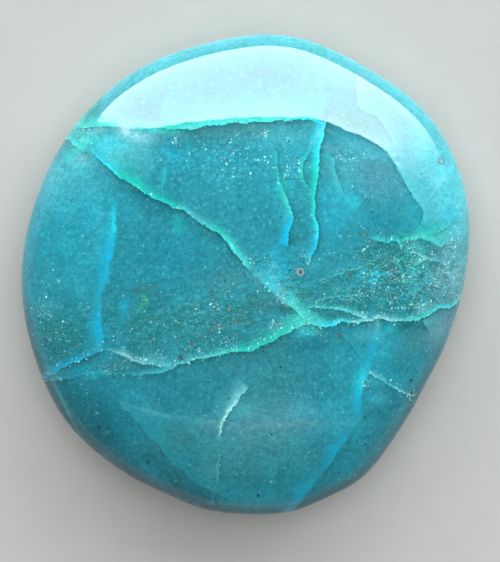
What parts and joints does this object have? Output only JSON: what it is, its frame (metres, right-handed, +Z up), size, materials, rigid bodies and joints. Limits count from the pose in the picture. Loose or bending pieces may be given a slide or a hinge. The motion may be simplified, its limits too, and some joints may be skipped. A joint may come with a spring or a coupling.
{
  "type": "chrysocolla palm stone",
  "caption": "Rounded, nearly circular palm stone of blue-green chrysocolla in chalcedony, polished all over, with a small flat underneath to rest on, for display or for holding in the hand.",
  "frame": {"origin": "middle of the stone's outline, at the height of the small flat that it rests on", "axes": "+Z up out of the domed top face, +Y along the longest side, +X across the stone"},
  "size_m": [0.056, 0.06, 0.0182],
  "materials": {
    "chrysocolla": "polished blue-green translucent stone with mint and blue healed veins, pale clouds and fine light specks"
  },
  "bodies": {
    "root": {"polished_stone": "chrysocolla"}
  },
  "joints": []
}
